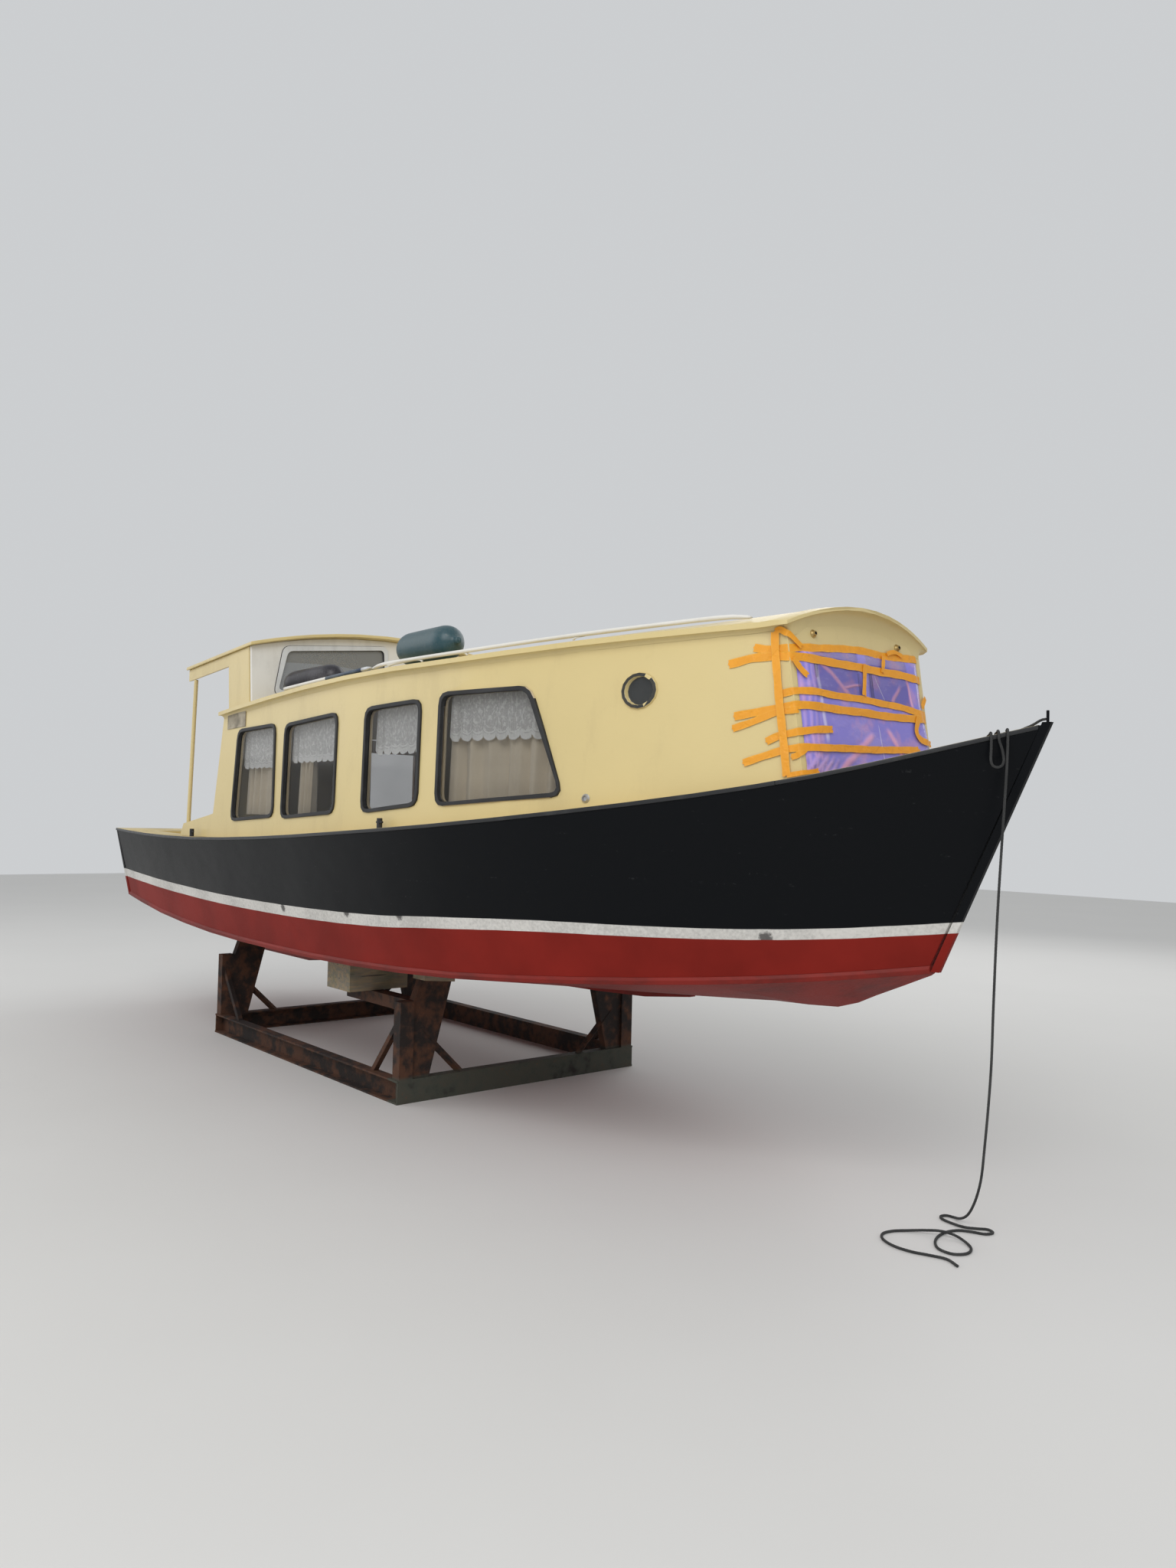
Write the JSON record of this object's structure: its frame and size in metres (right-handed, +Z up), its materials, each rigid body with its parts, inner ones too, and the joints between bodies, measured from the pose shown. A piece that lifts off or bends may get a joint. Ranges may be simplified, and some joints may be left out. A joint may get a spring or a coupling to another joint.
{
  "type": "motor cruiser",
  "caption": "Steel cabin cruiser with arched cabin roof, cockpit hardtop, rudder and propeller, laid up ashore on a steel cradle with timber packing.",
  "frame": {"origin": "on the ground under the middle of the boat's length and breadth", "axes": "+X to the bow, +Y to port, +Z up"},
  "size_m": [8.5, 2.8258, 3.2574],
  "materials": {
    "bottom": "dull red antifouling, stained",
    "topside": "near-black gloss paint with a white waterline stripe",
    "cream": "cream yellow gloss paint",
    "white": "weathered white paint",
    "rubber": "black window rubber round the glass",
    "alloy": "satin aluminium window frame",
    "bronze": "cast bronze",
    "engine": "green engine paint",
    "wood": "varnished",
    "cloth": "beige curtain cloth with lace valances",
    "film": "violet masking film",
    "blueVinyl": "teal-blue fender vinyl",
    "blackVinyl": "black fender vinyl",
    "rope": "dark laid rope",
    "rust": "rusted brown steel",
    "timber": "grey weathered timber"
  },
  "bodies": {
    "boat": {"hull_bottom": "bottom", "hull_side_starboard": "topside", "hull_side_port": "topside", "transom": "topside", "stem_bar": "topside", "keel_skeg": "bottom", "foredeck": "topside", "side_deck_starboard": "cream", "side_deck_port": "cream", "aft_deck": "cream", "cabin_side_starboard": "cream", "cabin_side_port": "cream", "cabin_front": "cream", "cabin_roof": "cream", "window_1_starboard": "rubber", "window_1_port": "rubber", "window_2_starboard": "rubber", "window_2_port": "rubber", "window_3_starboard": "rubber", "window_3_port": "rubber", "window_4_starboard": "rubber", "window_4_port": "rubber", "porthole_starboard": "cream", "porthole_port": "cream", "front_window_starboard": "rubber", "front_window_port": "rubber", "aft_bulkhead": "cream", "cabin_sole": "wood", "cockpit_well": "cream", "engine_block": "engine", "helm_console": "wood", "hardtop_front": "white", "windshield_starboard": "alloy", "windshield_port": "alloy", "hardtop_side_starboard": "cream", "hardtop_side_port": "cream", "hardtop_roof": "cream", "hardtop_pole_starboard": "cream", "hardtop_pole_port": "cream", "handrail_starboard": "white", "handrail_port": "white", "curtain_starboard": "cloth", "curtain_port": "cloth", "masking_film": "film", "roof_fender_blue": "blueVinyl", "roof_fender_black": "blackVinyl", "boathook": "white", "rope_bight": "rope", "bow_rope": "rope", "cradle_frame": "rust", "timber_arm_starboard": "timber", "timber_arm_port": "timber", "timber_front_starboard": "timber", "timber_front_port": "timber", "timber_rear_starboard": "timber", "timber_rear_port": "timber"},
    "door": {"companion_door": "wood"},
    "wheel": {"steering_wheel": "wood"},
    "rudder": {"rudder": "bottom"},
    "propeller": {"propeller": "bronze"}
  },
  "joints": [
    {"name": "door_hinge", "type": "hinge", "parent": "boat", "child": "door", "pos_m": [-1.653, 0.442, 1.8], "axis": [0, 0, -1], "range_deg": [0, 105]},
    {"name": "rudder_turn", "type": "hinge", "parent": "boat", "child": "rudder", "pos_m": [-3.8, 0, 0.6], "axis": [0, 0, 1], "range_deg": [-35, 35]},
    {"name": "wheel_turn", "type": "hinge", "parent": "boat", "child": "wheel", "pos_m": [-1.972, -0.76, 1.905], "axis": [1, 0, 0], "range_deg": [-540, 540]},
    {"name": "propeller_spin", "type": "hinge", "parent": "boat", "child": "propeller", "pos_m": [-3.56, 0, 0.692], "axis": [1, 0, 0], "continuous": true}
  ],
  "couplings": [
    {"joint": "wheel_turn", "follows": "rudder_turn", "ratio": 15.4}
  ]
}
